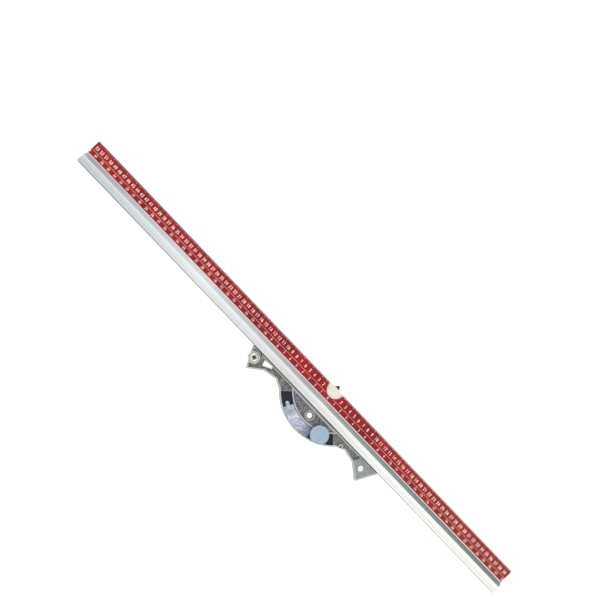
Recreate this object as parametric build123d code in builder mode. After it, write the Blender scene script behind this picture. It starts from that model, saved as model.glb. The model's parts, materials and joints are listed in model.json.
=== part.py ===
from build123d import *
import os
from math import cos, radians, sin

# Measuring fence of a manual tile cutter: an extruded rail with a printed centimetre scale,
# held by a die-cast goniometer bracket that turns about the scale's zero.
# Origin: axis of the bracket's centre hole, on the plane that the bracket rests on.
# +X runs along the scale, +Y points to the tile, +Z is up. All sizes in millimetres.

os.makedirs("parts", exist_ok=True)

# ---- driving dimensions --------------------------------------------------------------
RAIL_LEFT = -537.0          # left end of the rail: 53 printed centimetres and a margin
RAIL_RIGHT = 398.0          # right end of the rail: 39 printed centimetres and a margin
RAIL_FRONT = 60.0           # face that the tile is pushed against
RAIL_BACK = 13.5            # operator's side of the rail
RAIL_BASE = 8.0             # underside of the rail, on the bracket
FLANGE_TOP = 11.0           # scale flange
RIB_TOP = 24.0              # hollow rib behind the scale
LEG_BOTTOM = 2.0            # lower edge of the leg that meets thin tiles
WALL = 2.2
LIP = 2.3                   # bare lip in front of the scale strip
STRIP_WIDTH = 22.4
STRIP_THICKNESS = 0.6
STRIP_RECESS = 0.8
SLOT_Y = 22.0               # T-slot under the rib
SLOT_NECK = 6.4
SLOT_WIDTH = 10.4
SLOT_HEIGHT = 3.6

PIVOT = (0, 54.0)           # axis that the fence swings about, at the scale's zero
NOTCH_RADIUS = 14.5
NOTCH_Y = 57.0
NOTCH_FLARE = 5.0
LEG_GAP = 52.0              # length of leg that is cut away at the pivot

FLOOR = 4.0                 # floor of the arc channel
DECK = 8.5                  # general top of the casting
RIM_TOP = 10.0              # top of its raised rims
RIM = 2.6
EAR_TOP = 12.0
OUTER_RADIUS = 86.8         # half-moon, about the pivot
CHANNEL_IN = 66.3
CHANNEL_OUT = OUTER_RADIUS - RIM
CHANNEL_END = 44.5          # degrees each side of the middle
MOON_END = 46.5
CENTER_HOLE = 4.75
EAR_HOLE = 4.95
EAR_HOLE_X = 115.9
STOP_X = -125.7             # adjustable stop in the left ear
SCREW_X = (-118.0, -40.0, 40.0, 118.0)

KNOB_ANGLE = 26.0           # where the slider stands at rest, degrees from the middle
KNOB_REACH = 72.0           # knob axis from the pivot
SLIDER_HALF = 11.0          # half the slider's length, degrees
FIT = 0.3                   # free gap between sliding faces
STUD = 2.95                 # M6 stems that turn in their nuts
TAPPED = 3.02
UPWARD = (Align.CENTER, Align.CENTER, Align.MIN)


def arc_point(radius, degrees):
    """Point on a circle about the pivot; 0 degrees looks away from the tile, + turns to +X."""
    return (radius * sin(radians(degrees)), PIVOT[1] - radius * cos(radians(degrees)))


def upright_plane(x, y):
    """Vertical plane through a point, with its first axis along +X and its second up."""
    return Plane(origin=(x, y, 0), x_dir=(1, 0, 0), z_dir=(0, -1, 0))


def ring_sector(inner, outer, start, end, height=0.0):
    """Piece of a flat ring about the pivot, between two angles."""
    middle = (start + end) / 2
    with BuildSketch(Plane.XY.offset(height)) as sector:
        with BuildLine():
            Line(arc_point(inner, start), arc_point(outer, start))
            ThreePointArc(arc_point(outer, start), arc_point(outer, middle), arc_point(outer, end))
            Line(arc_point(outer, end), arc_point(inner, end))
            ThreePointArc(arc_point(inner, end), arc_point(inner, middle), arc_point(inner, start))
        make_face()
    return sector.sketch


def notch_shape(height):
    """Round notch at the scale's zero, flared where it meets the tile face."""
    with BuildSketch(Plane.XY.offset(height)) as notch:
        with Locations((0, NOTCH_Y)):
            Circle(NOTCH_RADIUS)
        with Locations((0, RAIL_FRONT)):
            Rectangle(4 * NOTCH_RADIUS, 20, align=(Align.CENTER, Align.MIN))
        at_face = notch.vertices().filter_by(lambda v: abs(v.Y - RAIL_FRONT) < 0.01)
        fillet(at_face.filter_by(lambda v: abs(v.X) < NOTCH_RADIUS), NOTCH_FLARE)
    return notch.sketch


# ---- rail ----------------------------------------------------------------------------
RIB_FRONT = RAIL_FRONT - 26.0
CHAMBER_BASE = 15.0
CHAMBER_WALL = 1.8
RAIL_LENGTH = RAIL_RIGHT - RAIL_LEFT

JOINT_Y = RIB_FRONT + 0.4           # the scale flange is keyed into the rib's foot here
KEY_DEPTH = 2.6
KEY_HEIGHT = 1.2
GROOVE_LINES = (17.0, 19.4)         # two fine lines along the rib's top


def rail_section():
    """Section of the whole rail: rib with its chamber and T-slot, flange, lip and leg."""
    with BuildSketch(Plane.YZ.offset(RAIL_LEFT)) as section:
        with BuildLine():
            Polyline(
                (RAIL_FRONT, LEG_BOTTOM),
                (RAIL_FRONT, FLANGE_TOP),
                (RAIL_FRONT - LIP, FLANGE_TOP),
                (RAIL_FRONT - LIP, FLANGE_TOP - STRIP_RECESS),
                (RAIL_FRONT - LIP - STRIP_WIDTH, FLANGE_TOP - STRIP_RECESS),
                (RAIL_FRONT - LIP - STRIP_WIDTH, FLANGE_TOP),
                (RIB_FRONT, FLANGE_TOP),
                (RIB_FRONT - 7.5, RIB_TOP - 1.0),
                (RIB_FRONT - 8.6, RIB_TOP),
                (RAIL_BACK, RIB_TOP),
                (RAIL_BACK, RAIL_BASE),
                (RAIL_FRONT - WALL, RAIL_BASE),
                (RAIL_FRONT - WALL, LEG_BOTTOM),
                close=True,
            )
        make_face()
        back_corners = section.vertices().filter_by(lambda v: abs(v.X - RAIL_BACK) < 0.01)
        fillet(back_corners.group_by(Axis.Y)[-1], 1.6)
        with BuildLine():
            Polyline(
                (RIB_FRONT - 4.6, CHAMBER_BASE),
                (RIB_FRONT - 9.0, RIB_TOP - CHAMBER_WALL),
                (RAIL_BACK + CHAMBER_WALL, RIB_TOP - CHAMBER_WALL),
                (RAIL_BACK + CHAMBER_WALL, CHAMBER_BASE),
                close=True,
            )
        make_face(mode=Mode.SUBTRACT)
        with Locations((SLOT_Y, RAIL_BASE)):
            Rectangle(SLOT_NECK, 4, mode=Mode.SUBTRACT)
        with Locations((SLOT_Y, RAIL_BASE + WALL - 0.4)):
            Rectangle(SLOT_WIDTH, SLOT_HEIGHT, align=(Align.CENTER, Align.MIN), mode=Mode.SUBTRACT)
        with Locations(*[(y, RIB_TOP) for y in GROOVE_LINES]):
            Rectangle(0.8, 0.6, mode=Mode.SUBTRACT)
    return section.sketch


def flange_zone():
    """Region of the section that belongs to the flange, with the key that enters the rib."""
    with BuildSketch(Plane.YZ.offset(RAIL_LEFT)) as zone:
        with Locations((JOINT_Y, 0)):
            Rectangle(2 * RAIL_FRONT, RIB_TOP, align=(Align.MIN, Align.MIN))
        with Locations((JOINT_Y - KEY_DEPTH, RAIL_BASE + 0.9)):
            Rectangle(2 * KEY_DEPTH, KEY_HEIGHT, align=(Align.MIN, Align.MIN))
    return zone.sketch


with BuildPart() as fence_rail:
    extrude(rail_section() - flange_zone(), amount=RAIL_LENGTH)

fence_rail.part.label = "fence_rail"
export_step(fence_rail.part, "parts/fence_rail.step")

with BuildPart() as scale_flange:
    extrude(rail_section() & flange_zone(), amount=RAIL_LENGTH)
    extrude(notch_shape(0), amount=RIB_TOP / 2 + 1, mode=Mode.SUBTRACT)
    with Locations((0, RAIL_FRONT, 0)):
        Box(LEG_GAP, 3 * WALL, RAIL_BASE, align=UPWARD, mode=Mode.SUBTRACT)

scale_flange.part.label = "scale_flange"
export_step(scale_flange.part, "parts/scale_flange.step")

# ---- printed strip that carries the scale, laid in the flange ---------------------------
STRIP_BASE = FLANGE_TOP - STRIP_RECESS

with BuildPart() as scale_strip:
    with BuildSketch(Plane.XY.offset(STRIP_BASE)):
        with Locations((RAIL_LEFT, RAIL_FRONT - LIP)):
            Rectangle(RAIL_LENGTH, STRIP_WIDTH, align=(Align.MIN, Align.MAX))
    extrude(amount=STRIP_THICKNESS)
    extrude(notch_shape(0), amount=RIB_TOP, mode=Mode.SUBTRACT)

scale_strip.part.label = "scale_strip"
export_step(scale_strip.part, "parts/scale_strip.step")

# ---- goniometer bracket --------------------------------------------------------------
BRACKET_BACK = RAIL_BACK - 0.1      # the visible part of the casting starts just behind the rail
TONGUE_FRONT = 31.0                 # front of the tongue under the rib
EAR_CORNER = (140.0, 11.5)
EAR_TIP = (122.8, -21.1)
EAR_ROOT = (100.0, -3.0)
ARM_NECK = (78.0, 1.5)
ARM_FRONT = RAIL_FRONT + 0.6
ARM_THICKNESS = 5.0
ARM_HALF = 50.0
BUSH_RADIUS = 5.0
RETAINER_RADIUS = 4.8
RETAINER_DEPTH = 2.0
SCREW_HEAD = 5.0
SCREW_SHANK = 2.5
STOP_BOSS = 9.8
STOP_POCKET = 7.4
STOP_ROOF = 6.6
GROOVE_DEPTH = 1.3
GROOVE_BASE = 5.7
GROOVE_TOP = 8.1
PAD_BACK = BRACKET_BACK - 1.8
PAD_SIDE_ANGLE = 62.2               # direction of the pad's left side
GROOVE_FLOOR = 4.4
EJECTOR = (68.6, 0.8)
RIVET_REACH = 75.7
RIVET_ANGLE = 30.5
RIVET_RADIUS = 1.2
RING_BOSS = 8.0
SKIN = 3.4                          # roof left over the hollows in the underside


def mirrored(points):
    """The same points on the other side of the middle, in reverse order."""
    return [(-x, y) for x, y in reversed(points)]


def casting_outline(front, height=0.0):
    """Outline of the casting: ears with 45 degree stop edges, arms and the half-moon."""
    moon_corner = arc_point(OUTER_RADIUS, MOON_END)
    moon_bottom = arc_point(OUTER_RADIUS, 0)
    right_side = [(EAR_CORNER[0] - 1.5, front), EAR_CORNER, EAR_TIP, EAR_ROOT, ARM_NECK, moon_corner]
    left_side = mirrored(right_side)
    with BuildSketch(Plane.XY.offset(height)) as outline:
        with BuildLine():
            Polyline(*right_side)
            ThreePointArc(moon_corner, moon_bottom, left_side[0])
            Polyline(*left_side)
            Line(left_side[-1], right_side[0])
        make_face()
        soft_corners = outline.vertices().filter_by(lambda v: v.Y < EAR_CORNER[1] - 1)
        fillet(soft_corners, 2.0)
    return outline.sketch


def ring_of(outline, width, height):
    """A raised rim that follows the inside of an outline."""
    with BuildSketch(Plane.XY.offset(height)) as rim:
        add(outline)
        offset(outline, -width, mode=Mode.SUBTRACT)
    return rim.sketch


def inner_plate(height):
    """The flat between the rail and the arc channel."""
    with BuildSketch(Plane.XY.offset(height)) as plate:
        with Locations(PIVOT):
            Circle(CHANNEL_IN)
        with Locations((0, BRACKET_BACK - 2.2)):
            Rectangle(3 * CHANNEL_IN, 3 * CHANNEL_IN, align=(Align.CENTER, Align.MIN), mode=Mode.SUBTRACT)
    return plate.sketch


def arm_outline(clearance=0.0):
    """Plate that reaches from the tongue forward to the pivot."""
    half = ARM_HALF + clearance
    back = RAIL_BACK + 1.5 - clearance
    with BuildSketch() as outline:
        with BuildLine():
            Polyline(
                (-half, back),
                (half, back),
                (half, TONGUE_FRONT),
                (11, PIVOT[1] - 5),
                (11, ARM_FRONT),
                (-11, ARM_FRONT),
                (-11, PIVOT[1] - 5),
                (-half, TONGUE_FRONT),
                close=True,
            )
        make_face()
    return outline.sketch


with BuildPart() as goniometer_bracket:
    # tongue under the rail, with a recess for the pivot arm
    extrude(casting_outline(TONGUE_FRONT), amount=FLOOR)
    with BuildSketch():
        with Locations((0, (TONGUE_FRONT + RAIL_BACK) / 2)):
            Rectangle(2 * EAR_CORNER[0] - 4, TONGUE_FRONT - RAIL_BACK)
    extrude(amount=RAIL_BASE)
    extrude(arm_outline(clearance=0.2), amount=ARM_THICKNESS, mode=Mode.SUBTRACT)

    # deck, its raised rims and the arc channel
    extrude(casting_outline(BRACKET_BACK), amount=RIM_TOP)
    fillet(goniometer_bracket.edges().group_by(Axis.Z)[-1], 0.8)
    with BuildSketch(Plane.XY.offset(DECK)):
        offset(casting_outline(BRACKET_BACK), -RIM)
    extrude(amount=RIM_TOP, mode=Mode.SUBTRACT)
    extrude(ring_sector(CHANNEL_IN, CHANNEL_OUT, -CHANNEL_END, CHANNEL_END, FLOOR), amount=RIM_TOP,
            mode=Mode.SUBTRACT)
    extrude(ring_of(inner_plate(0), 1.7, DECK), amount=RIM_TOP - DECK)
    for radius in (CHANNEL_IN, CHANNEL_OUT):
        inner, outer = radius - GROOVE_DEPTH, radius + GROOVE_DEPTH
        groove = ring_sector(inner, outer, -CHANNEL_END, CHANNEL_END, GROOVE_BASE)
        extrude(groove, amount=GROOVE_TOP - GROOVE_BASE, mode=Mode.SUBTRACT)

    # right ear: a raised pad with a plain hole, and a groove between it and the arm
    with BuildSketch(Plane.XY.offset(DECK)):
        with BuildLine():
            Polyline((97.6, 0.6), (122.4, -18.0), (137.6, PAD_BACK), (103.4, PAD_BACK), close=True)
        make_face()
    extrude(amount=EAR_TOP - DECK, taper=12)
    with BuildSketch(Plane.XY.offset(GROOVE_FLOOR)):
        with Locations(Location((98.3, 6.6, 0), (0, 0, PAD_SIDE_ANGLE))):
            SlotOverall(11.5, 2.8)
    extrude(amount=EAR_TOP, mode=Mode.SUBTRACT)
    with Locations((EAR_HOLE_X, 0, 0)):
        Hole(EAR_HOLE)

    # left ear: a boss for the stop screw over a pocket that opens on the stop edge
    with BuildSketch():
        with Locations((STOP_X, 0)):
            Circle(STOP_BOSS)
    extrude(amount=EAR_TOP)
    with BuildSketch(Plane.XY.offset(DECK)) as stop_ring:
        with Locations((STOP_X, 0)):
            Circle(STOP_BOSS + 3.8)
            Circle(STOP_BOSS + 2.4, mode=Mode.SUBTRACT)
    extrude(stop_ring.sketch & casting_outline(BRACKET_BACK, DECK), amount=RIM_TOP - DECK)

    # ejector boss where the half-moon meets the right arm
    with Locations((*EJECTOR, DECK)):
        Cylinder(3.4, RIM_TOP + 0.8 - DECK, align=UPWARD)
        Cylinder(2.0, RIM_TOP, align=UPWARD, mode=Mode.SUBTRACT)
    with BuildSketch():
        with Locations((STOP_X, 0)):
            Circle(STOP_POCKET)
        with Locations(Location((STOP_X + 8, -8, 0), (0, 0, -45))):
            Rectangle(26, 1.5 * STOP_POCKET)
    extrude(amount=STOP_ROOF, mode=Mode.SUBTRACT)
    with Locations((STOP_X, 0, 0)):
        Hole(TAPPED + 0.2)
    with BuildSketch():
        with BuildLine():
            Polyline((-111.0, 9.5), (-95.0, 11.4), (-92.8, 8.0), (-107.8, 0.7), close=True)
        opening = make_face()
        fillet(opening.vertices(), 0.8)
    extrude(amount=2 * EAR_TOP, mode=Mode.SUBTRACT)

    # centre hole in a ring boss
    with BuildSketch():
        Circle(RING_BOSS)
    extrude(amount=RIM_TOP)
    with Locations((0, 0, RIM_TOP)):
        CounterSinkHole(CENTER_HOLE, CENTER_HOLE + 1.2)

    # screws that hold the rail come up through the tongue
    for x in SCREW_X:
        with Locations(Location((x, SLOT_Y, 0), (180, 0, 0))):
            CounterSinkHole(SCREW_SHANK + 0.2, SCREW_HEAD + 0.1)

    # hollows in the underside, between the screws and under the inner plate
    with BuildSketch():
        for x in (-79, 79):
            with Locations((x, (TONGUE_FRONT + RAIL_BACK) / 2)):
                Rectangle(50, 11)
    extrude(amount=RAIL_BASE - SKIN, mode=Mode.SUBTRACT)
    with BuildSketch():
        for side in (-1, 1):
            with Locations((side * 22, 3.5)):
                Rectangle(18, 9)
    extrude(amount=DECK - SKIN, mode=Mode.SUBTRACT)

    # rivet holes in the channel floor
    for side in (-1, 1):
        with Locations((*arc_point(RIVET_REACH, side * RIVET_ANGLE), 0)):
            Hole(RIVET_RADIUS)

goniometer_bracket.part.label = "goniometer_bracket"
export_step(goniometer_bracket.part, "parts/goniometer_bracket.step")

# ---- steel arm from the bracket to the pivot, clamped by the two inner rail screws ----------------
with BuildPart() as pivot_arm:
    extrude(arm_outline(), amount=ARM_THICKNESS)
    fillet(pivot_arm.edges().filter_by(Axis.Z), 2.0)
    with Locations((*PIVOT, 0)):
        Hole(BUSH_RADIUS)
        Cylinder(RETAINER_RADIUS + 0.5, RETAINER_DEPTH, align=UPWARD, mode=Mode.SUBTRACT)
    for x in SCREW_X[1:3]:
        with Locations(Location((x, SLOT_Y, 0), (180, 0, 0))):
            CounterSinkHole(SCREW_SHANK + 0.2, SCREW_HEAD + 0.1)

pivot_arm.part.label = "pivot_arm"
export_step(pivot_arm.part, "parts/pivot_arm.step")

# ---- screws and nuts between bracket and rail ---------------------------------------------
SCREW_LENGTH = 13.0
NUT_BASE = RAIL_BASE + WALL - 0.4
NUT_HEIGHT = 3.2

with BuildPart() as rail_screws:
    for x in SCREW_X:
        with Locations((x, SLOT_Y, 0)):
            Cone(SCREW_HEAD, SCREW_SHANK, SCREW_HEAD - SCREW_SHANK, align=UPWARD)
            Cylinder(SCREW_SHANK, SCREW_LENGTH, align=UPWARD)
        with BuildSketch():
            with Locations((x, SLOT_Y)):
                RegularPolygon(1.7, 6)
        extrude(amount=1.6, mode=Mode.SUBTRACT)

rail_screws.part.label = "rail_screws"
export_step(rail_screws.part, "parts/rail_screws.step")

with BuildPart() as slot_nuts:
    for x in SCREW_X:
        with Locations((x, SLOT_Y, NUT_BASE)):
            Box(14, SLOT_WIDTH - 0.4, NUT_HEIGHT, align=UPWARD)
        with Locations((x, SLOT_Y, 0)):
            Hole(SCREW_SHANK)

slot_nuts.part.label = "slot_nuts"
export_step(slot_nuts.part, "parts/slot_nuts.step")

# ---- polished wear band on the channel floor, with its rivets --------------------------------
BAND_END = 27.0
BAND_THICKNESS = 0.8
BAND_TOP = FLOOR + BAND_THICKNESS
BAND_IN = CHANNEL_IN + 0.6
BAND_OUT = CHANNEL_OUT - 0.6
LUG_RADIUS = 3.0

with BuildPart() as wear_band:
    lugs = ring_sector(RIVET_REACH - LUG_RADIUS, RIVET_REACH + LUG_RADIUS, -RIVET_ANGLE, RIVET_ANGLE, FLOOR)
    extrude(ring_sector(BAND_IN, BAND_OUT, -BAND_END, BAND_END, FLOOR), amount=BAND_THICKNESS)
    extrude(lugs, amount=BAND_THICKNESS)
    for side in (-1, 1):
        with Locations((*arc_point(RIVET_REACH, side * RIVET_ANGLE), FLOOR)):
            Cylinder(LUG_RADIUS, BAND_THICKNESS, align=UPWARD)
            Hole(RIVET_RADIUS)

wear_band.part.label = "wear_band"
export_step(wear_band.part, "parts/wear_band.step")

with BuildPart() as band_rivets:
    for side in (-1, 1):
        with Locations((*arc_point(RIVET_REACH, side * RIVET_ANGLE), 0)):
            Cylinder(RIVET_RADIUS, BAND_TOP, align=UPWARD)
        with Locations((*arc_point(RIVET_REACH, side * RIVET_ANGLE), BAND_TOP)):
            Cone(2.2, 1.4, 0.5, align=UPWARD)

band_rivets.part.label = "band_rivets"
export_step(band_rivets.part, "parts/band_rivets.step")

# ---- swivel plate in the notch ---------------------------------------------------------------
PLATE_BASE = ARM_THICKNESS + 0.3
PLATE_TOP = RAIL_BASE - 0.4
PLATE_FRONT = RAIL_FRONT + 0.8
PLATE_HALF = 20.0
PLATE_RADIUS = 15.0
STUB_RADIUS = 3.2
PIVOT_SCREW = 1.6
PIVOT_HEAD = 3.1
BUSH_BORE = STUB_RADIUS + 0.06
TIP_HALF = 5.2
TIP_REACH = 66.6
TANG_WIDTH = 6.0
TANG_DEPTH = 5.0
TANG_HEIGHT = 1.2

with BuildPart() as pivot_bush:
    with Locations((*PIVOT, RETAINER_DEPTH)):
        Cylinder(BUSH_RADIUS, ARM_THICKNESS - RETAINER_DEPTH, align=UPWARD)
    with Locations((*PIVOT, 0)):
        Hole(BUSH_BORE)

pivot_bush.part.label = "pivot_bush"
export_step(pivot_bush.part, "parts/pivot_bush.step")

with BuildPart() as index_plate:
    with BuildSketch(Plane.XY.offset(PLATE_BASE)):
        with Locations(PIVOT):
            Circle(PLATE_RADIUS)
        with Locations((0, PLATE_FRONT)):
            Rectangle(2 * PLATE_HALF, PLATE_RADIUS, align=(Align.CENTER, Align.MIN), mode=Mode.SUBTRACT)
        with BuildLine():
            Polyline(
                (-PLATE_HALF, PLATE_FRONT - 4),
                (-PLATE_HALF, PLATE_FRONT),
                (PLATE_HALF, PLATE_FRONT),
                (PLATE_HALF, PLATE_FRONT - 4),
                (12, PIVOT[1] - 9),
                (-12, PIVOT[1] - 9),
                close=True,
            )
        make_face()
    extrude(amount=PLATE_TOP - PLATE_BASE)
    upright_edges = index_plate.edges().filter_by(Axis.Z)
    fillet(upright_edges.filter_by(lambda e: abs(e.center().X) > PLATE_HALF - 0.1), 1.5)
    with Locations((*PIVOT, RETAINER_DEPTH - 0.1)):
        Cylinder(STUB_RADIUS, PLATE_BASE - RETAINER_DEPTH + 0.1, align=UPWARD)
        Cylinder(PIVOT_SCREW, PLATE_BASE - RETAINER_DEPTH, align=UPWARD, mode=Mode.SUBTRACT)
    with Locations((0, PLATE_FRONT, PLATE_BASE)):
        Box(TANG_WIDTH, 2 * TANG_DEPTH, TANG_HEIGHT, align=UPWARD, mode=Mode.SUBTRACT)

index_plate.part.label = "index_plate"
export_step(index_plate.part, "parts/index_plate.step")

# hardened nib that points at the cutting line; its tang sits in a pocket under the plate
with BuildPart() as index_tip:
    with Locations((0, PLATE_FRONT, PLATE_BASE)):
        Box(TANG_WIDTH, TANG_DEPTH, TANG_HEIGHT, align=(Align.CENTER, Align.MAX, Align.MIN))
    with BuildSketch(Plane.XY.offset(PLATE_BASE)):
        with BuildLine():
            Polyline((-TIP_HALF, PLATE_FRONT), (TIP_HALF, PLATE_FRONT), (0, TIP_REACH), close=True)
        make_face()
    extrude(amount=PLATE_TOP - PLATE_BASE)
    sloping = index_tip.edges().group_by(Axis.Z)[-1].filter_by(lambda e: e.center().Y > PLATE_FRONT + 0.5)
    chamfer(sloping, 0.5)

index_tip.part.label = "index_tip"
export_step(index_tip.part, "parts/index_tip.step")

with BuildPart() as pivot_washer:
    with Locations((*PIVOT, RETAINER_DEPTH - 1.1)):
        Cylinder(RETAINER_RADIUS, 1.0, align=UPWARD)
    with Locations((*PIVOT, 0)):
        Hole(PIVOT_SCREW)

pivot_washer.part.label = "pivot_washer"
export_step(pivot_washer.part, "parts/pivot_washer.step")

with BuildPart() as pivot_screw:
    with Locations((*PIVOT, 0.1)):
        Cylinder(PIVOT_HEAD, RETAINER_DEPTH - 1.2, align=UPWARD)
        Cylinder(PIVOT_SCREW, PLATE_BASE - 0.7, align=UPWARD)
    with BuildSketch(Plane.XY.offset(0.1)):
        with Locations(PIVOT):
            RegularPolygon(1.3, 6)
    extrude(amount=0.5, mode=Mode.SUBTRACT)

pivot_screw.part.label = "pivot_screw"
export_step(pivot_screw.part, "parts/pivot_screw.step")

# ---- adjustable stop in the left ear ------------------------------------------------------------
WASHER_TOP = EAR_TOP + 1.4
WASHER_RADIUS = 9.6
HEAD_RADIUS = 6.7
HEAD_TOP = WASHER_TOP + 3.6
HEAD_ROUND = 2.2
RECESS_DEPTH = 2.0
CAM_RADIUS = 5.4
CAM_OFFSET = 1.6
STOP_FLOOR = 0.8
CAM_AXIS = (STOP_X + CAM_OFFSET * cos(radians(45)), -CAM_OFFSET * cos(radians(45)))

with BuildPart() as stop_washer:
    with Locations((STOP_X, 0, EAR_TOP)):
        Cylinder(WASHER_RADIUS, WASHER_TOP - EAR_TOP, align=UPWARD)
    chamfer(stop_washer.edges().group_by(Axis.Z)[-1], 0.35)
    with Locations((STOP_X, 0, 0)):
        Hole(TAPPED + 0.2)

stop_washer.part.label = "stop_washer"
export_step(stop_washer.part, "parts/stop_washer.step")

with BuildPart() as stop_screw:
    with BuildSketch(upright_plane(STOP_X, 0)):
        with BuildLine():
            Polyline(
                (HEAD_RADIUS, HEAD_TOP - HEAD_ROUND),
                (HEAD_RADIUS, WASHER_TOP),
                (0, WASHER_TOP),
                (0, HEAD_TOP),
                (HEAD_RADIUS - HEAD_ROUND, HEAD_TOP),
            )
            TangentArc((HEAD_RADIUS - HEAD_ROUND, HEAD_TOP), (HEAD_RADIUS, HEAD_TOP - HEAD_ROUND), tangent=(1, 0))
        make_face()
    revolve(axis=Axis((STOP_X, 0, 0), (0, 0, 1)))
    with Locations((STOP_X, 0, STOP_FLOOR + 0.4)):
        Cylinder(STUD, WASHER_TOP - STOP_FLOOR - 0.4, align=UPWARD)
    with BuildSketch(Plane.XY.offset(HEAD_TOP - RECESS_DEPTH)):
        for turn in (20, 110):
            with Locations(Location((STOP_X, 0, 0), (0, 0, turn))):
                Rectangle(7.4, 1.9)
            with Locations(Location((STOP_X, 0, 0), (0, 0, turn + 45))):
                Rectangle(5.0, 0.8)
    extrude(amount=RECESS_DEPTH, mode=Mode.SUBTRACT)

stop_screw.part.label = "stop_screw"
export_step(stop_screw.part, "parts/stop_screw.step")

# round nut with an off-centre thread: turning it shifts the face that meets the machine's pin
with BuildPart() as stop_cam:
    with Locations((*CAM_AXIS, STOP_FLOOR)):
        Cylinder(CAM_RADIUS, STOP_ROOF - FIT - STOP_FLOOR, align=UPWARD)
    with BuildSketch(Plane.XY.offset(STOP_FLOOR)):
        with Locations(CAM_AXIS):
            Circle(CAM_RADIUS)
            RegularPolygon(CAM_RADIUS - 0.1, 6, mode=Mode.SUBTRACT)
    extrude(amount=2.0, mode=Mode.SUBTRACT)
    with Locations((STOP_X, 0, 0)):
        Hole(TAPPED)

stop_cam.part.label = "stop_cam"
export_step(stop_cam.part, "parts/stop_cam.step")

# ---- slider in the arc channel --------------------------------------------------------------------
KNOB_X, KNOB_Y = arc_point(KNOB_REACH, KNOB_ANGLE)
SHOE_BASE = 5.6
SHOE_TOP = 8.2
TONGUE_BASE = GROOVE_BASE + 0.3
TONGUE_TOP = TONGUE_BASE + 1.4
SHOE_LIFT = 0.6                     # travel of the shoe from free to clamped
BLOCK_BASE = SHOE_TOP + SHOE_LIFT + 0.2
BLOCK_TOP = 11.2
SLIDER_START = KNOB_ANGLE - SLIDER_HALF
SLIDER_END = KNOB_ANGLE + SLIDER_HALF
KNOB_WASHER_TOP = BLOCK_TOP + 1.0
KNOB_BASE = KNOB_WASHER_TOP + 0.1
KNOB_RADIUS = 14.2
KNOB_BODY_TOP = 20.6
CAP_RADIUS = 15.0
CAP_TOP = 22.6

with BuildPart() as slider_block:
    extrude(
        ring_sector(CHANNEL_IN + FIT, CHANNEL_OUT - FIT, SLIDER_START, SLIDER_END, BLOCK_BASE),
        amount=BLOCK_TOP - BLOCK_BASE,
    )
    fillet(slider_block.edges().filter_by(Axis.Z), 1.5)
    chamfer(slider_block.edges().group_by(Axis.Z)[-1], 0.4)
    with Locations((KNOB_X, KNOB_Y, 0)):
        Hole(STUD + 0.35)

slider_block.part.label = "slider_block"
export_step(slider_block.part, "parts/slider_block.step")

with BuildPart() as clamp_shoe:
    extrude(
        ring_sector(CHANNEL_IN + FIT, CHANNEL_OUT - FIT, SLIDER_START + 0.5, SLIDER_END - 0.5, SHOE_BASE),
        amount=SHOE_TOP - SHOE_BASE,
    )
    extrude(
        ring_sector(CHANNEL_IN - 1.0, CHANNEL_OUT + 1.0, SLIDER_START + 1.5, SLIDER_END - 1.5, TONGUE_BASE),
        amount=TONGUE_TOP - TONGUE_BASE,
    )
    with Locations((KNOB_X, KNOB_Y, 0)):
        Hole(TAPPED)

clamp_shoe.part.label = "clamp_shoe"
export_step(clamp_shoe.part, "parts/clamp_shoe.step")

with BuildPart() as knob_washer:
    with Locations((KNOB_X, KNOB_Y, BLOCK_TOP)):
        Cylinder(7.5, KNOB_WASHER_TOP - BLOCK_TOP, align=UPWARD)
    with Locations((KNOB_X, KNOB_Y, 0)):
        Hole(STUD + 0.35)

knob_washer.part.label = "knob_washer"
export_step(knob_washer.part, "parts/knob_washer.step")

# ---- clamp knob: grip, its moulded-in screw and the light blue cap ------------------------------
SCREW_COLLAR = 4.6
GRIP_FLUTES = 24
FLUTE_RADIUS = 1.1
CAP_LIP = 1.2
CAP_PLUG = 10.8

with BuildPart() as clamp_screw:
    with Locations((KNOB_X, KNOB_Y, SHOE_BASE + 0.2)):
        Cylinder(STUD, KNOB_BODY_TOP - 2 - SHOE_BASE, align=UPWARD)
    with BuildSketch(Plane.XY.offset(KNOB_BASE + 1.5)):
        with Locations((KNOB_X, KNOB_Y)):
            RegularPolygon(SCREW_COLLAR, 6)
    extrude(amount=4.0)

clamp_screw.part.label = "clamp_screw"
export_step(clamp_screw.part, "parts/clamp_screw.step")

with BuildPart() as knob_body:
    with Locations((KNOB_X, KNOB_Y, KNOB_BASE)):
        Cylinder(KNOB_RADIUS, KNOB_BODY_TOP - KNOB_BASE, align=UPWARD)
    chamfer(knob_body.edges().group_by(Axis.Z)[0], 1.0)
    with Locations((KNOB_X, KNOB_Y, 0)):
        with PolarLocations(KNOB_RADIUS + 0.5, GRIP_FLUTES):
            Cylinder(FLUTE_RADIUS, KNOB_BODY_TOP + 1, align=UPWARD, mode=Mode.SUBTRACT)
    with Locations((KNOB_X, KNOB_Y, KNOB_BODY_TOP - CAP_LIP)):
        Cylinder(CAP_PLUG + 0.2, CAP_LIP, align=UPWARD, mode=Mode.SUBTRACT)
    add(clamp_screw.part, mode=Mode.SUBTRACT)

knob_body.part.label = "knob_body"
export_step(knob_body.part, "parts/knob_body.step")

with BuildPart() as knob_cap:
    with Locations((KNOB_X, KNOB_Y, KNOB_BODY_TOP)):
        Cylinder(CAP_RADIUS, CAP_TOP - KNOB_BODY_TOP, align=UPWARD)
    fillet(knob_cap.edges().group_by(Axis.Z)[-1], 0.7)
    with Locations((KNOB_X, KNOB_Y, KNOB_BODY_TOP - CAP_LIP + 0.1)):
        Cylinder(CAP_PLUG, CAP_LIP, align=UPWARD)

knob_cap.part.label = "knob_cap"
export_step(knob_cap.part, "parts/knob_cap.step")
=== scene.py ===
"""Looks for a swivelling tile cutter fence: the printed scale, its finishes with painted shade, highlights and
reflections, the floor, light and camera.
"""

import json
import math

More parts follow.
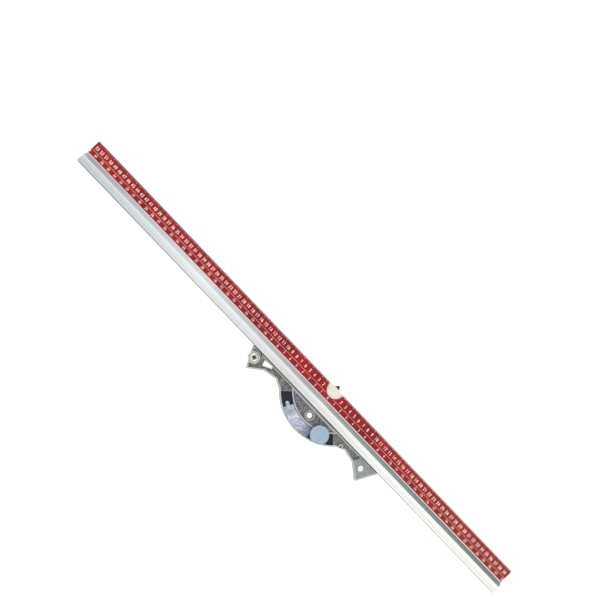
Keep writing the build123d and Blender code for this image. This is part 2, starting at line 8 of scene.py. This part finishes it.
import bmesh
import bpy
from mathutils import Matrix, Vector


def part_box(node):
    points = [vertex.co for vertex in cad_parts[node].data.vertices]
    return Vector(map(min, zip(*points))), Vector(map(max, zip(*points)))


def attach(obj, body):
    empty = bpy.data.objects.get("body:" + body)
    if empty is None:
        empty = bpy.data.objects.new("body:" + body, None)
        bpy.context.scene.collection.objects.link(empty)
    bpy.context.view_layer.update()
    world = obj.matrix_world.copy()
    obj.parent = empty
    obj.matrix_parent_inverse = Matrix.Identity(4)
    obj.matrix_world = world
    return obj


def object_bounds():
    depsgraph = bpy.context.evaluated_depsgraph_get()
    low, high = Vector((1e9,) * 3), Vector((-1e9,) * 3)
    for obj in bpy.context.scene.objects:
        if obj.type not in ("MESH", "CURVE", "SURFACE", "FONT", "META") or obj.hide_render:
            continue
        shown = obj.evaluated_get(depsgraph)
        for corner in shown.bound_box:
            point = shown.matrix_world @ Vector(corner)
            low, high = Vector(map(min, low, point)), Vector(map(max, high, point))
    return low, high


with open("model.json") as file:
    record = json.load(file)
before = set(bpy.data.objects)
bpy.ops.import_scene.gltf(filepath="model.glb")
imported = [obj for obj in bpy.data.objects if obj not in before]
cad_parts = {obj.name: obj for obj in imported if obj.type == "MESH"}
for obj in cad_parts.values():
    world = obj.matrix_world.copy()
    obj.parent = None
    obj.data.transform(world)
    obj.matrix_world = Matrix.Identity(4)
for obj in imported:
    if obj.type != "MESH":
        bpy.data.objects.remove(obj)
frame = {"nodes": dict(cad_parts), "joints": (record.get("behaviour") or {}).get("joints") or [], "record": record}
cad_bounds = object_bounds()

MM = 0.001

joints = {joint["name"]: joint for joint in frame["joints"]}
PIVOT = Vector(joints["fence_swing"]["pos_m"])
band_low, band_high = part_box("wear_band")
strip_low, strip_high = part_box("scale_strip")
rail_low, rail_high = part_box("fence_rail")
screw_low, screw_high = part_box("stop_screw")
CHANNEL_FLOOR = band_low.z
SLOPE_START = 13.0 * MM      # from the rail's back to its slope
BACK_EDGE = 1.7 * MM         # width of the painted shade along the rail's rounded back edge
FOOT = 0.9 * MM              # flat between the slope and the strip, painted as a highlight
RIM_TOP = 10.0 * MM          # height of the casting's rims; its pads stand above them
CHANNEL_IN = 66.0 * MM       # the arc channel's radii from the pivot
CHANNEL_OUT = 84.3 * MM
RING_BOSS = 8.5 * MM         # just outside the ring round the centre hole
BRACKET_HALF = 130 * MM
RECESS_REACH = 4.4 * MM      # reach of the painted shade in the stop screw's recess, and of the painted highlight ring round it
GLINT_IN = 4.6 * MM
GLINT_OUT = 5.8 * MM


# ---- node material helpers ------------------------------------------------------------------------
class Shader:
    """A Principled material whose inputs are fed from procedural textures in object space."""

    def __init__(self, name):
        self.material = bpy.data.materials.new(name)
        self.material.use_nodes = True
        self.tree = self.material.node_tree
        self.principled = self.tree.nodes["Principled BSDF"]
        coordinates = self.tree.nodes.new("ShaderNodeTexCoord")
        self.place = coordinates.outputs["Object"]

    def put(self, **values):
        for name, value in values.items():
            self.principled.inputs[name.replace("_", " ")].default_value = value

    def link(self, source, target):
        self.tree.links.new(source, target)

    def scaled_place(self, scale):
        mapping = self.tree.nodes.new("ShaderNodeMapping")
        mapping.inputs["Scale"].default_value = scale
        self.link(self.place, mapping.inputs["Vector"])
        return mapping.outputs["Vector"]

    def noise(self, scale, detail=4.0, roughness=0.55, stretch=(1, 1, 1)):
        texture = self.tree.nodes.new("ShaderNodeTexNoise")
        texture.inputs["Scale"].default_value = scale
        texture.inputs["Detail"].default_value = detail
        texture.inputs["Roughness"].default_value = roughness
        self.link(self.scaled_place(stretch), texture.inputs["Vector"])
        return texture.outputs["Fac"]

    def ramp(self, source, stops):
        node = self.tree.nodes.new("ShaderNodeValToRGB")
        elements = node.color_ramp.elements
        while len(elements) < len(stops):
            elements.new(0.5)
        for element, (position, colour) in zip(elements, stops):
            element.position = position
            element.color = (*colour, 1.0)
        self.link(source, node.inputs["Fac"])
        return node.outputs["Color"]

    def spread(self, source, low, high, start=0.3, end=0.7):
        """source between start and end, stretched to low..high"""
        node = self.tree.nodes.new("ShaderNodeMapRange")
        node.inputs["From Min"].default_value = start
        node.inputs["From Max"].default_value = end
        node.inputs["To Min"].default_value = low
        node.inputs["To Max"].default_value = high
        self.link(source, node.inputs["Value"])
        return node.outputs["Result"]

    def blend(self, factor, first, second, mode="MIX"):
        node = self.tree.nodes.new("ShaderNodeMix")
        node.data_type = "RGBA"
        node.blend_type = mode
        if isinstance(factor, float):
            node.inputs[0].default_value = factor
        else:
            self.link(factor, node.inputs[0])
        self.link(first, node.inputs[6])
        self.link(second, node.inputs[7])
        return node.outputs[2]

    def bump(self, source, depth, strength=1.0):
        node = self.tree.nodes.new("ShaderNodeBump")
        node.inputs["Strength"].default_value = strength
        node.inputs["Distance"].default_value = depth
        self.link(source, node.inputs["Height"])
        before = self.principled.inputs["Normal"].links
        if before:
            self.link(before[0].from_socket, node.inputs["Normal"])
        self.link(node.outputs["Normal"], self.principled.inputs["Normal"])

    def maths(self, operation, first, second=None):
        node = self.tree.nodes.new("ShaderNodeMath")
        node.operation = operation
        for socket, value in zip(node.inputs, (first, second)):
            if isinstance(value, (int, float)):
                socket.default_value = value
            elif value is not None:
                self.link(value, socket)
        return node.outputs[0]

    def axes(self):
        """x, y and z of the shaded point, in metres"""
        node = self.tree.nodes.new("ShaderNodeSeparateXYZ")
        self.link(self.place, node.inputs[0])
        return node.outputs

    def reach(self, x, y):
        """distance of the shaded point from an upright axis, in metres"""
        here = self.axes()
        across = self.maths("SUBTRACT", here["X"], x)
        along = self.maths("SUBTRACT", here["Y"], y)
        squares = (self.maths("MULTIPLY", step, step) for step in (across, along))
        return self.maths("SQRT", self.maths("ADD", *squares))

    def between(self, value, low, high):
        """1 where value lies between low and high"""
        above = self.maths("GREATER_THAN", value, low)
        below = self.maths("LESS_THAN", value, high)
        return self.maths("MULTIPLY", above, below)

    def facing(self):
        """0 where the surface faces the viewer, 1 at its outline"""
        node = self.tree.nodes.new("ShaderNodeLayerWeight")
        node.inputs["Blend"].default_value = 0.5
        return node.outputs["Facing"]

    def edges(self, radius):
        """1 on sharp edges, 0 on flats"""
        rounded = self.tree.nodes.new("ShaderNodeBevel")
        rounded.samples = 6
        rounded.inputs["Radius"].default_value = radius
        flat = self.tree.nodes.new("ShaderNodeNewGeometry")
        dot = self.tree.nodes.new("ShaderNodeVectorMath")
        dot.operation = "DOT_PRODUCT"
        self.link(rounded.outputs["Normal"], dot.inputs[0])
        self.link(flat.outputs["Normal"], dot.inputs[1])
        return self.spread(dot.outputs["Value"], 1.0, 0.0, 0.80, 0.985)

    def crevices(self, distance):
        """1 in open places, 0 deep in corners"""
        node = self.tree.nodes.new("ShaderNodeAmbientOcclusion")
        node.samples = 8
        node.inputs["Distance"].default_value = distance
        return node.outputs["AO"]

    def tint(self, factor, source, shade):
        """source multiplied by shade where factor is 1"""
        node = self.tree.nodes.new("ShaderNodeMix")
        node.data_type = "RGBA"
        node.blend_type = "MULTIPLY"
        self.link(factor, node.inputs[0])
        self.link(source, node.inputs[6])
        node.inputs[7].default_value = (*shade, 1.0)
        return node.outputs[2]

    def paint(self, factor, source, shade):
        """source replaced by shade where factor is 1"""
        result = self.tint(factor, source, shade)
        result.node.blend_type = "MIX"
        return result

    def colour(self, source):
        self.link(source, self.principled.inputs["Base Color"])

    def roughness(self, source):
        self.link(source, self.principled.inputs["Roughness"])


def rail_aluminium():
    s = Shader("rail_aluminium")
    lines = s.noise(160, 5, 0.6, (0.012, 4.0, 4.0))
    patches = s.noise(9, 3, 0.5)
    facing = s.facing()
    bright = s.ramp(lines, [(0.25, (0.88, 0.90, 0.905)), (0.75, (0.99, 1.0, 0.995))])
    # painted shade: faces seen at a glancing angle are painted darker, the walls darkest
    shade = s.ramp(facing, [
        (0.20, (1.0, 1.0, 1.0)), (0.50, (0.50, 0.57, 0.58)), (0.90, (0.13, 0.14, 0.15)),
    ])
    here = s.axes()
    along = s.spread(here["X"], 0.0, 1.0, rail_low.x, rail_high.x)
    # painted reflections: the top and the slope are painted lighter and darker along the rail
    painted_top_reflection = s.ramp(along, [
        (0.02, (0.76, 0.77, 0.77)), (0.28, (0.98, 1.0, 1.0)), (0.50, (0.88, 0.88, 0.86)),
        (0.70, (1.0, 1.0, 0.98)), (1.0, (0.84, 0.83, 0.79)),
    ])
    painted_slope_reflection = s.ramp(along, [
        (0.02, (0.38, 0.40, 0.42)), (0.26, (0.70, 0.77, 0.80)), (0.42, (0.57, 0.58, 0.60)),
        (0.72, (0.26, 0.36, 0.345)), (1.0, (0.205, 0.285, 0.27)),
    ])
    top_with_painted_light = s.blend(1.0, s.blend(1.0, bright, shade, "MULTIPLY"), painted_top_reflection, "MULTIPLY")
    slope = s.between(here["Y"], rail_low.y + SLOPE_START, strip_low.y - FOOT)
    slope_with_painted_light = s.blend(slope, top_with_painted_light, s.blend(1.0, bright, painted_slope_reflection, "MULTIPLY"))
    # painted shade on the front lip beyond the strip, weaker towards the right end
    lip = s.maths("GREATER_THAN", here["Y"], strip_high.y)
    lip_shade = s.maths("MULTIPLY", lip, s.spread(along, 1.0, 0.55, 0.0, 1.0))
    # painted shade along the back edge, weaker towards the right end
    back = s.maths("LESS_THAN", here["Y"], rail_low.y + BACK_EDGE)
    back_shade = s.maths("MULTIPLY", back, s.spread(along, 1.0, 0.2, 0.2, 0.9))
    lip_and_back_shaded = s.tint(back_shade, s.tint(lip_shade, slope_with_painted_light, (0.36, 0.34, 0.37)), (0.66, 0.67, 0.70))
    # painted highlights on the slope's upper arris and on the foot, and painted shade in the corners
    arris = s.between(here["Y"], rail_low.y + SLOPE_START - 1.0 * MM, rail_low.y + SLOPE_START)
    foot = s.between(here["Y"], strip_low.y - FOOT, strip_low.y)
    crevice_shaded = s.tint(s.spread(s.crevices(1.2 * MM), 0.7, 0.0, 0.4, 0.95), lip_and_back_shaded, (0.45, 0.46, 0.48))
    glints = s.maths("MAXIMUM", s.maths("MULTIPLY", arris, 0.5), foot)
    s.colour(s.paint(glints, crevice_shaded, (0.97, 0.98, 0.98)))
    s.link(s.spread(facing, 1.0, 0.45, 0.25, 0.50), s.principled.inputs["Metallic"])
    s.roughness(s.maths("ADD", s.spread(patches, 0.26, 0.36), s.spread(facing, 0.0, 0.3, 0.25, 0.50)))
    s.bump(lines, 0.04 * MM, 0.6)
    return s.material


def scale_red():
    s = Shader("scale_red")
    s.put(Metallic=0.0, Specular_IOR_Level=0.25)
    patches = s.noise(55, 3, 0.6, (1.0, 0.6, 1.0))
    grain = s.noise(900, 3, 0.6)
    deep = s.ramp(patches, [(0.35, (0.255, 0.004, 0.008)), (0.65, (0.420, 0.009, 0.010))])
    fine = s.ramp(grain, [(0.3, (0.80, 0.80, 0.80)), (0.7, (1.0, 1.0, 1.0))])
    # the red is painted lighter towards the strip's right end
    lighter_rightwards = s.spread(s.axes()["X"], 0.0, 0.35, 0.1 * strip_high.x, strip_high.x)
    s.colour(s.blend(0.6, s.paint(lighter_rightwards, deep, (0.44, 0.055, 0.035)), fine, "MULTIPLY"))
    s.roughness(s.spread(patches, 0.34, 0.50))
    s.bump(grain, 0.02 * MM, 0.5)
    return s.material


def cast_metal():
    s = Shader("cast_metal")
    s.put(Metallic=0.9)
    mottle = s.noise(290, 5, 0.66)
    broad = s.noise(30, 3, 0.5)
    sand = s.noise(1100, 4, 0.7)
    fine = s.ramp(mottle, [
        (0.32, (0.110, 0.106, 0.100)), (0.50, (0.215, 0.211, 0.202)), (0.70, (0.42, 0.42, 0.405)),
    ])
    wide = s.ramp(broad, [(0.35, (0.78, 0.80, 0.84)), (0.65, (1.0, 0.98, 0.93))])
    skin = s.blend(0.8, fine, wide, "MULTIPLY")
    across = s.spread(s.axes()["X"], 0.0, 1.0, -BRACKET_HALF, BRACKET_HALF)
    sides = s.ramp(across, [(0.1, (1.0, 0.965, 0.94)), (0.9, (0.93, 1.0, 1.0))])
    tinted = s.blend(1.0, skin, sides, "MULTIPLY")
    # painted shade: darker in corners and recesses
    occlusion_shaded = s.tint(s.spread(s.crevices(3 * MM), 0.80, 0.0, 0.30, 0.90), tinted, (0.20, 0.20, 0.21))
    height = s.axes()["Z"]
    padded = s.maths("MULTIPLY", s.maths("GREATER_THAN", height, RIM_TOP + 1.5 * MM), 0.55)
    flecks = s.maths("MULTIPLY", padded, s.spread(sand, 0.0, 1.0, 0.54, 0.62))
    pads = s.paint(flecks, s.paint(padded, occlusion_shaded, (0.35, 0.375, 0.365)), (0.72, 0.75, 0.74))
    # painted highlight on the rim tops, weaker on the ring boss
    rims = s.between(height, RIM_TOP - 0.6 * MM, RIM_TOP + 0.9 * MM)
    boss = s.maths("LESS_THAN", s.reach(0.0, 0.0), RING_BOSS)
    shine = s.maths("MULTIPLY", rims, s.spread(boss, 0.75, 0.35, 0.0, 1.0))
    wear_and_highlight = s.paint(shine, pads, (0.66, 0.665, 0.68))
    # painted highlight along the sharp edges
    edge_highlighted = s.paint(s.edges(0.9 * MM), wear_and_highlight, (0.88, 0.88, 0.87))
    from_pivot = s.reach(PIVOT.x, PIVOT.y)
    inside = s.between(from_pivot, CHANNEL_IN, CHANNEL_OUT)
    floor = s.maths("MULTIPLY", inside, s.maths("LESS_THAN", height, CHANNEL_FLOOR + 0.3 * MM))
    s.colour(s.paint(floor, edge_highlighted, (0.028, 0.036, 0.056)))
    s.roughness(s.spread(mottle, 0.52, 0.30))
    s.bump(mottle, 0.10 * MM, 0.5)
    s.bump(sand, 0.03 * MM, 0.5)
    return s.material


def polished_steel():
    s = Shader("polished_steel")
    s.put(Metallic=1.0)
    wear = s.noise(230, 5, 0.65)
    clouds = s.noise(60, 3, 0.5)
    wear_and_highlight = s.ramp(wear, [
        (0.34, (0.44, 0.47, 0.56)), (0.47, (0.70, 0.74, 0.84)), (0.62, (0.94, 0.97, 1.0)),
    ])
    broad = s.ramp(clouds, [(0.38, (0.70, 0.74, 0.83)), (0.60, (1.0, 1.0, 1.0))])
    mottled = s.blend(0.9, wear_and_highlight, broad, "MULTIPLY")
    # painted sheen: the band is painted lighter and darker along its length as reflections
    along = s.spread(s.axes()["X"], 0.0, 1.0, band_low.x, band_high.x)
    sheen = s.ramp(along, [
        (0.05, (0.55, 0.57, 0.62)), (0.30, (1.0, 1.0, 1.0)), (0.45, (0.90, 0.92, 0.95)),
        (0.62, (0.46, 0.48, 0.54)),
    ])
    s.colour(s.blend(1.0, mottled, sheen, "MULTIPLY"))
    s.roughness(s.spread(clouds, 0.16, 0.42))
    s.bump(clouds, 0.8 * MM, 0.4)
    return s.material


def zinc_steel():
    s = Shader("zinc_steel")
    s.put(Metallic=1.0)
    spangle = s.noise(260, 4, 0.6)
    plated = s.ramp(spangle, [(0.3, (0.46, 0.47, 0.48)), (0.7, (0.76, 0.77, 0.78))])
    # painted shade: darker in corners and recesses
    s.colour(s.tint(s.spread(s.crevices(2 * MM), 1.0, 0.0, 0.3, 0.9), plated, (0.25, 0.25, 0.26)))
    s.roughness(s.spread(spangle, 0.28, 0.48))
    s.bump(spangle, 0.03 * MM, 0.6)
    return s.material


def yellow_zinc():
    s = Shader("yellow_zinc")
    s.put(Metallic=1.0)
    tint = s.noise(230, 4, 0.6)
    plated = s.ramp(tint, [
        (0.3, (0.52, 0.47, 0.32)), (0.55, (0.70, 0.66, 0.50)), (0.75, (0.82, 0.80, 0.70)),
    ])
    # painted shade in the corners and in the cross recess, and a painted highlight ring round the recess
    shaded = s.tint(s.spread(s.crevices(2.5 * MM), 1.0, 0.0, 0.45, 0.95), plated, (0.12, 0.11, 0.05))
    centre = (screw_low + screw_high) / 2
    from_axis = s.reach(centre.x, centre.y)
    sunk = s.between(s.axes()["Z"], screw_high.z - 4.0 * MM, screw_high.z - 0.9 * MM)
    recess = s.maths("MULTIPLY", sunk, s.maths("LESS_THAN", from_axis, RECESS_REACH))
    glint_ring = s.between(from_axis, GLINT_IN, GLINT_OUT)
    s.colour(s.paint(recess, s.paint(glint_ring, shaded, (0.93, 0.93, 0.90)), (0.055, 0.050, 0.028)))
    s.roughness(s.spread(tint, 0.26, 0.46))
    s.bump(tint, 0.03 * MM, 0.6)
    return s.material


def bush_brass():
    s = Shader("bush_brass")
    s.put(Metallic=1.0)
    turned = s.noise(400, 4, 0.6)
    s.colour(s.ramp(turned, [(0.3, (0.50, 0.33, 0.12)), (0.7, (0.74, 0.54, 0.25))]))
    s.roughness(s.spread(turned, 0.25, 0.42))
    s.bump(turned, 0.02 * MM, 0.6)
    return s.material


def cream_paint():
    s = Shader("cream_paint")
    s.put(Metallic=0.0, Coat_Weight=0.2, Coat_Roughness=0.3)
    patches = s.noise(180, 4, 0.6)
    s.colour(s.ramp(patches, [(0.3, (0.74, 0.70, 0.60)), (0.7, (0.82, 0.79, 0.69))]))
    s.roughness(s.spread(patches, 0.38, 0.55))
    s.bump(patches, 0.02 * MM, 0.5)
    return s.material


def dark_steel():
    s = Shader("dark_steel")
    s.put(Metallic=0.9)
    mottle = s.noise(500, 4, 0.6)
    s.colour(s.ramp(mottle, [(0.3, (0.018, 0.016, 0.015)), (0.7, (0.060, 0.055, 0.052))]))
    s.roughness(s.spread(mottle, 0.34, 0.52))
    s.bump(mottle, 0.03 * MM, 0.6)
    return s.material


def black_plastic():
    s = Shader("black_plastic")
    s.put(Metallic=0.0)
    texture = s.noise(1400, 3, 0.6)
    s.colour(s.ramp(texture, [(0.3, (0.010, 0.011, 0.014)), (0.7, (0.030, 0.031, 0.036))]))
    s.roughness(s.spread(texture, 0.42, 0.62))
    s.bump(texture, 0.03 * MM, 0.7)
    return s.material


def blue_plastic():
    s = Shader("blue_plastic")
    s.put(Metallic=0.0)
    cloud = s.noise(130, 3, 0.5)
    grain = s.noise(1800, 3, 0.6)
    s.colour(s.ramp(cloud, [(0.35, (0.300, 0.415, 0.525)), (0.65, (0.335, 0.450, 0.555))]))
    s.roughness(s.spread(grain, 0.40, 0.52))
    s.bump(grain, 0.012 * MM, 0.6)
    return s.material


FINISHES = [
    rail_aluminium, scale_red, cast_metal, polished_steel, zinc_steel, yellow_zinc,
    bush_brass, cream_paint, dark_steel, black_plastic, blue_plastic,
]
materials = {finish.__name__: finish() for finish in FINISHES}

for part in frame["record"]["subparts"]:
    mesh = frame["nodes"][part["node"]].data
    mesh.materials.clear()
    mesh.materials.append(materials[part["material_slot"]])


# ---- the scale's print: digits are strokes on a grid one unit wide and two high -------------------
def arc(cx, cy, rx, ry, start, end, steps=9):
    """Points of an elliptic arc, in degrees from the grid's +x, anticlockwise positive."""
    points = []
    for i in range(steps + 1):
        angle = math.radians(start + (end - start) * i / steps)
        points.append((cx + rx * math.cos(angle), cy + ry * math.sin(angle)))
    return points


DIGITS = {
    "0": [arc(0.5, 1.0, 0.5, 1.0, 0, 360, 18)],
    "1": [[(0.12, 1.56), (0.55, 2.0), (0.55, 0.0)]],
    "2": [arc(0.5, 1.48, 0.48, 0.52, 165, -35) + [(0.04, 0.0)], [(0.0, 0.0), (1.0, 0.0)]],
    "3": [arc(0.46, 1.52, 0.46, 0.48, 150, -90), arc(0.46, 0.52, 0.52, 0.52, 90, -150)],
    "4": [[(0.78, 0.0), (0.78, 2.0)], [(0.78, 2.0), (0.0, 0.62)], [(0.0, 0.62), (1.0, 0.62)]],
    "5": [[(0.92, 2.0), (0.14, 2.0), (0.14, 1.11)], arc(0.46, 0.62, 0.52, 0.62, 128, -150)],
    "6": [arc(0.95, 0.75, 0.95, 1.25, 100, 180, 7), arc(0.5, 0.6, 0.5, 0.6, 0, 360, 16)],
    "7": [[(0.0, 2.0), (1.0, 2.0)], [(1.0, 2.0), (0.36, 0.0)]],
    "8": [arc(0.5, 1.50, 0.42, 0.47, 0, 360, 14), arc(0.5, 0.52, 0.5, 0.52, 0, 360, 14)],
    "9": [arc(0.5, 1.4, 0.5, 0.6, 0, 360, 16), arc(0.05, 1.25, 0.95, 1.25, 0, -80, 7)],
}

PRINT_HEIGHT = 0.06 * MM
LAYER = 0.03 * MM


def ribbon(mesh, points, width, layer=0):
    """A closed flat band of that width along points; strokes that cross lie in different layers."""
    low = PRINT_FOOT
    high = PRINT_TOP + layer * LAYER
    closed = (Vector(points[0]) - Vector(points[-1])).length < 1e-7
    if closed:
        points = points[:-1]
    count = len(points)
    rings = []
    for i, point in enumerate(points):
        here = Vector(point)
        before = Vector(points[i - 1]) if closed or i > 0 else None
        after = Vector(points[(i + 1) % count]) if closed or i < count - 1 else None
        into = (here - before).normalized() if before else (after - here).normalized()
        out = (after - here).normalized() if after else into
        middle = (into + out).normalized()
        across = Vector((-middle.y, middle.x))
        reach = 0.5 * width / max(0.5, into.dot(middle))
        left = here + across * reach
        right = here - across * reach
        rings.append([
            mesh.verts.new((left.x, left.y, low)),
            mesh.verts.new((right.x, right.y, low)),
            mesh.verts.new((right.x, right.y, high)),
            mesh.verts.new((left.x, left.y, high)),
        ])
    links = count if closed else count - 1
    for i in range(links):
        first = rings[i]
        second = rings[(i + 1) % count]
        for j in range(4):
            k = (j + 1) % 4
            mesh.faces.new((first[j], first[k], second[k], second[j]))
    if not closed:
        mesh.faces.new(rings[0][::-1])
        mesh.faces.new(rings[-1])


def number(mesh, text, centre, base, digit_width, digit_height, stroke):
    """text centred on centre, its foot at base; a digit past the strip's end is left out"""
    gap = 0.34 * digit_width
    inner_width = digit_width - stroke
    inner_height = digit_height - stroke
    total = len(text) * digit_width + (len(text) - 1) * gap
    for i, character in enumerate(text):
        left = centre - total / 2 + i * (digit_width + gap)
        middle = left + digit_width / 2
        if not strip_low.x < middle < strip_high.x:
            continue
        left = min(max(left, strip_low.x), strip_high.x - digit_width) + stroke / 2
        for layer, line in enumerate(DIGITS[character]):
            points = [(left + x * inner_width, base + stroke / 2 + y / 2 * inner_height) for x, y in line]
            ribbon(mesh, points, stroke, layer)


def finish_mesh(mesh, name, body, slot):
    bmesh.ops.recalc_face_normals(mesh, faces=mesh.faces)
    data = bpy.data.meshes.new(name)
    mesh.to_mesh(data)
    mesh.free()
    piece = bpy.data.objects.new(name, data)
    bpy.context.scene.collection.objects.link(piece)
    data.materials.append(materials[slot])
    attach(piece, body)
    return piece


PRINT_TOP = strip_high.z + PRINT_HEIGHT
PRINT_FOOT = strip_high.z - PRINT_HEIGHT
NOTCH_HALF = 18.5 * MM
NOTCH_FOOT_HALF = 7.5 * MM
CENTIMETRE = 10 * MM
DIAGONAL = CENTIMETRE * math.sqrt(2)
MIDDLE_LINE = strip_low.y + 8.3 * MM
UPPER_BASE = strip_low.y + 11.4 * MM
LOWER_BASE = strip_low.y + 1.9 * MM
UPPER_DIGIT = (2.65 * MM, 5.8 * MM, 0.95 * MM)
LOWER_DIGIT = (2.1 * MM, 4.0 * MM, 0.80 * MM)
LINE_WIDTH = 0.3 * MM
TICK_WIDTH = 0.4 * MM


def places(step):
    """Whole steps along the strip on both sides of zero, with their places."""
    first = math.floor(strip_low.x / step)
    last = math.ceil(strip_high.x / step)
    return [(abs(i), i * step) for i in range(first, last + 1)]


def stripe(mesh, start, end, width):
    ribbon(mesh, [start, end], width)


upper = bmesh.new()
for value, x in places(CENTIMETRE):
    if abs(x) > NOTCH_HALF and strip_low.x < x < strip_high.x:
        number(upper, str(value), x, UPPER_BASE, *UPPER_DIGIT)
        stripe(upper, (x, strip_high.y - 1.9 * MM), (x, strip_high.y - 0.5 * MM), TICK_WIDTH)
finish_mesh(upper, "print_centimetres", "fence", "cream_paint")

lower = bmesh.new()
for value, x in places(DIAGONAL):
    number(lower, str(value), x, LOWER_BASE, *LOWER_DIGIT)
    if value and strip_low.x < x < strip_high.x:
        stripe(lower, (x, MIDDLE_LINE - 1.7 * MM), (x, MIDDLE_LINE - LINE_WIDTH / 2), TICK_WIDTH)
for start, end in ((strip_low.x + 0.5 * MM, -NOTCH_FOOT_HALF), (NOTCH_FOOT_HALF, strip_high.x - 0.5 * MM)):
    stripe(lower, (start, MIDDLE_LINE), (end, MIDDLE_LINE), LINE_WIDTH)
finish_mesh(lower, "print_diagonals", "fence", "cream_paint")


# ---- floor, light and camera ----------------------------------------------------------------------
def floor_material():
    s = Shader("pale_floor")
    s.put(Metallic=0.0, Roughness=0.9, Emission_Color=(1.0, 1.0, 1.0, 1.0), Emission_Strength=0.75)
    cloud = s.noise(3, 2, 0.5)
    s.colour(s.ramp(cloud, [(0.3, (0.86, 0.86, 0.86)), (0.7, (0.88, 0.88, 0.88))]))
    return s.material


low, high = (Vector(corner) for corner in cad_bounds)
FLOOR_HALF = 6.0
floor_mesh = bmesh.new()
for x, y in ((-1, -1), (1, -1), (1, 1), (-1, 1)):
    floor_mesh.verts.new((x * FLOOR_HALF, y * FLOOR_HALF, 0.0))
floor_mesh.faces.new(floor_mesh.verts)
floor_data = bpy.data.meshes.new("floor")
floor_mesh.to_mesh(floor_data)
floor_mesh.free()
floor_data.materials.append(floor_material())
floor = bpy.data.objects.new("floor", floor_data)
floor.location.z = low.z - 0.2 * MM
bpy.context.scene.collection.objects.link(floor)


def area_light(name, place, target, width, height, watts, colour):
    light = bpy.data.lights.new(name, "AREA")
    light.shape = "RECTANGLE"
    light.size = width
    light.size_y = height
    light.energy = watts
    light.color = colour
    lamp = bpy.data.objects.new(name, light)
    lamp.location = place
    lamp.rotation_euler = (Vector(target) - Vector(place)).to_track_quat("-Z", "Y").to_euler()
    bpy.context.scene.collection.objects.link(lamp)


middle = (low + high) / 2
area_light("key", middle + Vector((-1.9, 1.5, 1.3)), middle, 1.2, 1.2, 30, (1.0, 1.0, 1.0))
area_light("fill", middle + Vector((1.6, -0.8, 2.4)), middle, 2.0, 2.0, 8, (1.0, 0.99, 0.97))

world = bpy.data.worlds.new("studio")
bpy.context.scene.world = world
world.use_nodes = True
sky = world.node_tree
direction = sky.nodes.new("ShaderNodeTexCoord")
sideways = sky.nodes.new("ShaderNodeSeparateXYZ")
sky.links.new(direction.outputs["Generated"], sideways.inputs[0])
across = sky.nodes.new("ShaderNodeMapRange")
across.inputs["From Min"].default_value = -0.30
across.inputs["From Max"].default_value = 0.30
sky.links.new(sideways.outputs["X"], across.inputs["Value"])
shades = sky.nodes.new("ShaderNodeValToRGB")
shades.color_ramp.elements[0].color = (0.72, 0.76, 0.80, 1.0)
shades.color_ramp.elements[1].color = (1.02, 1.0, 0.95, 1.0)
sky.links.new(across.outputs["Result"], shades.inputs["Fac"])
sky.links.new(shades.outputs["Color"], sky.nodes["Background"].inputs["Color"])
sky.nodes["Background"].inputs["Strength"].default_value = 1.0

VIEW_ELEVATION = math.radians(83.72)
VIEW_AZIMUTH = math.radians(-97.06)
VIEW_DISTANCE = 1.9115
UP_IN_VIEW = math.radians(136.0)
LENS = 73.0
strip_middle = (strip_low + strip_high) / 2
target = strip_middle + Vector((-71.2 * MM, 68.0 * MM, 0.5 * MM))

backward = Vector((
    math.cos(VIEW_ELEVATION) * math.cos(VIEW_AZIMUTH),
    math.cos(VIEW_ELEVATION) * math.sin(VIEW_AZIMUTH),
    math.sin(VIEW_ELEVATION),
))
right = Vector((math.cos(UP_IN_VIEW), math.sin(UP_IN_VIEW), 0)).cross(backward).normalized()
up = backward.cross(right)
camera_data = bpy.data.cameras.new("camera")
camera_data.lens = LENS
camera_data.sensor_width = 36.0
camera = bpy.data.objects.new("camera", camera_data)
turned = Matrix((right, up, backward)).transposed().to_4x4()
camera.matrix_world = Matrix.Translation(target + backward * VIEW_DISTANCE) @ turned
bpy.context.scene.collection.objects.link(camera)
bpy.context.scene.camera = camera
bpy.context.scene.view_settings.view_transform = "Standard"
